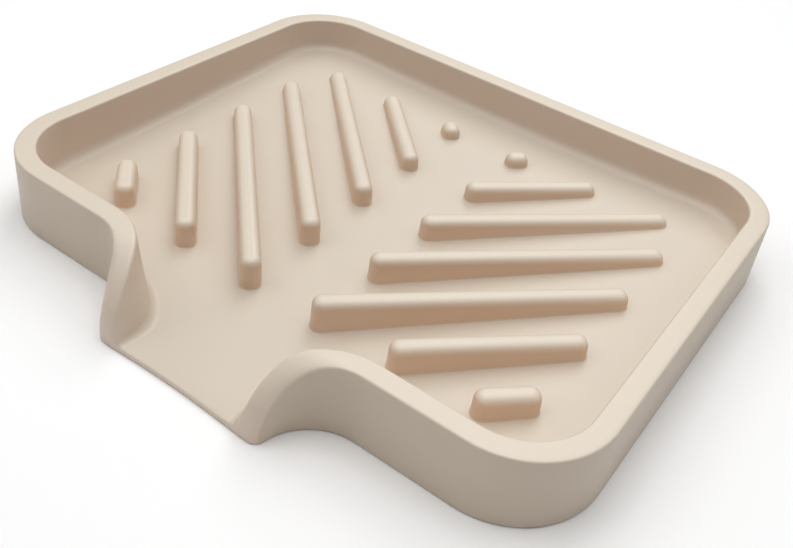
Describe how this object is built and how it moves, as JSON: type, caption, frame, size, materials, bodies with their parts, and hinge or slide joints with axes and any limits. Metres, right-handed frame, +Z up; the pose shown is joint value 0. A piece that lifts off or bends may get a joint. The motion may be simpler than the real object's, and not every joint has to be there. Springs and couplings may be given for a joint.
{
  "type": "soap dish",
  "caption": "Shallow rounded rectangular silicone soap dish: an upright rim, a floor sloping to a pouring spout, and level diagonal ribs that hold the bar clear of the water.",
  "frame": {"origin": "middle of the tray's rectangle, on the flat underside, the spout left out of the rectangle", "axes": "+X along the long side, to the right as seen from the spout; +Y to the back, away from the spout; +Z up"},
  "size_m": [0.132, 0.1162, 0.015],
  "materials": {
    "silicone": "matte moulded silicone, warm beige"
  },
  "bodies": {
    "root": {"tray_floor": "silicone", "rim_wall": "silicone", "drain_spout": "silicone", "left_rib_1": "silicone", "left_rib_2": "silicone", "left_rib_3": "silicone", "left_rib_4": "silicone", "left_rib_5": "silicone", "left_rib_6": "silicone", "left_rib_7": "silicone", "right_rib_1": "silicone", "right_rib_2": "silicone", "right_rib_3": "silicone", "right_rib_4": "silicone", "right_rib_5": "silicone", "right_rib_6": "silicone", "right_rib_7": "silicone"}
  },
  "joints": []
}
